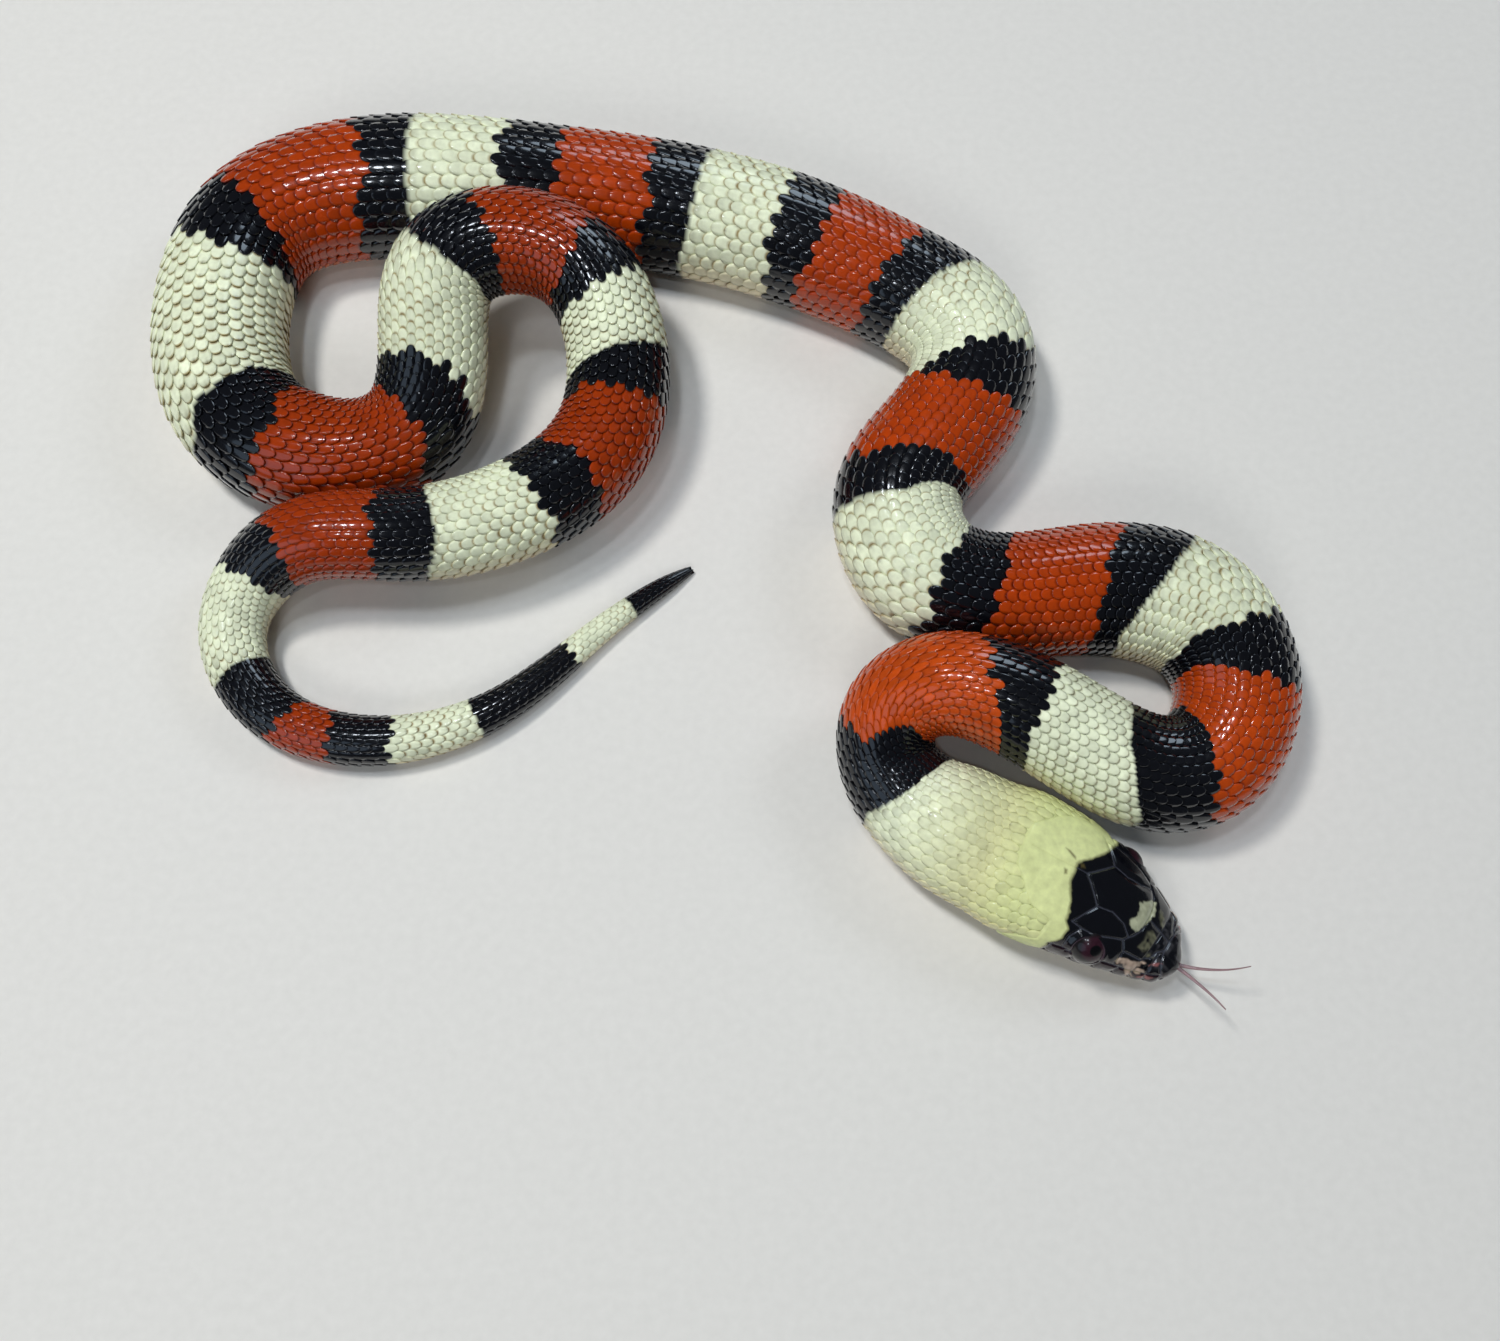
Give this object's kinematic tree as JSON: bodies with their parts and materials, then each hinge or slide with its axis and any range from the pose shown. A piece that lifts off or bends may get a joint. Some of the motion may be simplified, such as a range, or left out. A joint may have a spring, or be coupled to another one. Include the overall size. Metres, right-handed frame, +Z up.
{
  "type": "milk snake, still life-size model",
  "caption": "Young milk snake in cream, black and red bands, lying in loose bends with its hind loop resting on its own body and the forked tongue out.",
  "frame": {"origin": "on the ground, under the middle of the box round the snake", "axes": "+Z up from the ground; +X along the longer side of the box, towards the bend behind the head; the head lies on the -Y side and points towards +X and -Y"},
  "size_m": [0.132, 0.1081, 0.0204],
  "materials": {
    "head_scales": "glossy black head plates with cream flecks, horny skin",
    "body_scales": "smooth glossy scales in cream, black and red bands, horny skin",
    "belly_scales": "wide smooth belly plates, horny skin",
    "skin": "matte skin between the scales",
    "eye": "clear glossy spectacle over a dark red-brown iris and a round pupil",
    "tongue": "moist forked tongue"
  },
  "bodies": {
    "root": {"head": "head_scales", "eye_right": "eye", "eye_left": "eye", "tongue": "tongue", "neck": "body_scales", "body_1": "body_scales", "body_2": "body_scales", "body_3": "body_scales", "body_4": "body_scales", "body_5": "body_scales", "body_6": "body_scales", "body_7": "body_scales", "body_8": "body_scales", "body_9": "body_scales", "body_10": "body_scales", "tail_base": "body_scales", "tail_tip": "body_scales"}
  },
  "joints": []
}
